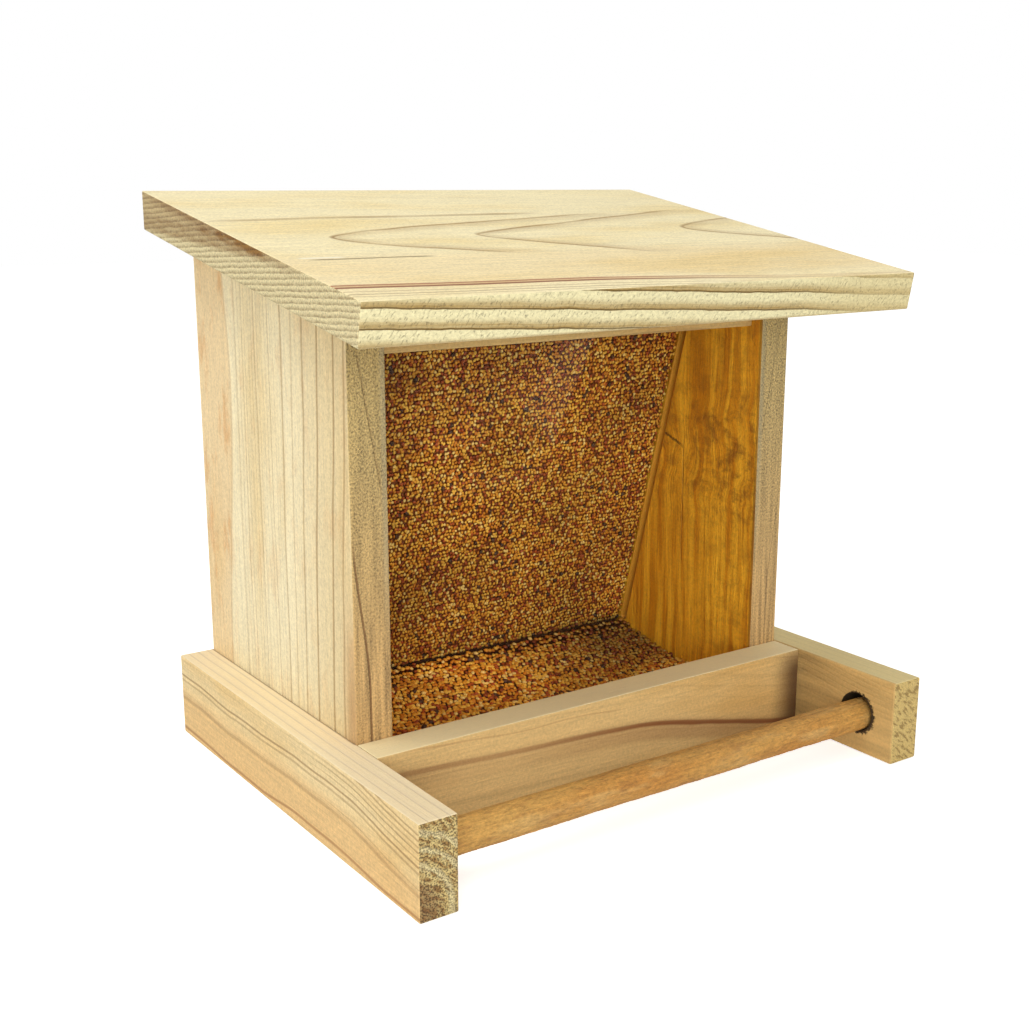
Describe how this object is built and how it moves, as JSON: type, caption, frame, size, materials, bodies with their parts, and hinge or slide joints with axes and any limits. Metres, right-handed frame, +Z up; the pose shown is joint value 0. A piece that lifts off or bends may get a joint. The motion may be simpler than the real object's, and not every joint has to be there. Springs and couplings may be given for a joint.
{
  "type": "hopper bird feeder",
  "caption": "Wooden hopper bird feeder with a hinged falling roof, a slanted clear seed panel, a seed tray with a front lip, base rails and a round perch.",
  "frame": {"origin": "on the ground, under the middle of the feeder's box", "axes": "+X to the feeder's right as seen from its front, -Y out of its front, +Z up"},
  "size_m": [0.2, 0.1641, 0.184],
  "materials": {
    "roof_wood": "bare planed softwood, pale, flame grain",
    "wall_wood": "bare planed softwood, upright straight grain",
    "back_wood": "bare softwood",
    "lip_wood": "bare planed softwood",
    "rail_wood": "bare planed softwood, sawn ends",
    "perch_wood": "bare rod, slightly fuzzy",
    "clear_acrylic": "clear and glossy",
    "seed": "loose millet grain, ochre with red and dark grains",
    "plated_steel": "zinc plated"
  },
  "bodies": {
    "body": {"left_wall": "wall_wood", "right_wall": "wall_wood", "back_panel": "back_wood", "floor_board": "back_wood", "front_lip": "lip_wood", "left_rail": "rail_wood", "right_rail": "rail_wood", "header_strip": "lip_wood", "seed_panel": "clear_acrylic", "seed_fill": "seed", "left_hinge_back_leaf": "plated_steel", "left_hinge_pin": "plated_steel", "right_hinge_back_leaf": "plated_steel", "right_hinge_pin": "plated_steel", "back_hinge_screws": "plated_steel", "back_nails": "plated_steel", "floor_nails": "plated_steel", "rail_screws": "plated_steel", "header_nails": "plated_steel"},
    "roof": {"roof_board": "roof_wood", "left_hinge_roof_leaf": "plated_steel", "right_hinge_roof_leaf": "plated_steel", "roof_hinge_screws": "plated_steel"},
    "perch": {"perch": "perch_wood"}
  },
  "joints": [
    {"name": "roof_hinge", "type": "hinge", "parent": "body", "child": "roof", "pos_m": [0, 0.08015, 0.17181], "axis": [-1, 0, 0], "range_deg": [0, 180]},
    {"name": "perch_turn", "type": "hinge", "parent": "body", "child": "perch", "pos_m": [0, -0.06605, 0.0125], "axis": [1, 0, 0], "continuous": true}
  ]
}
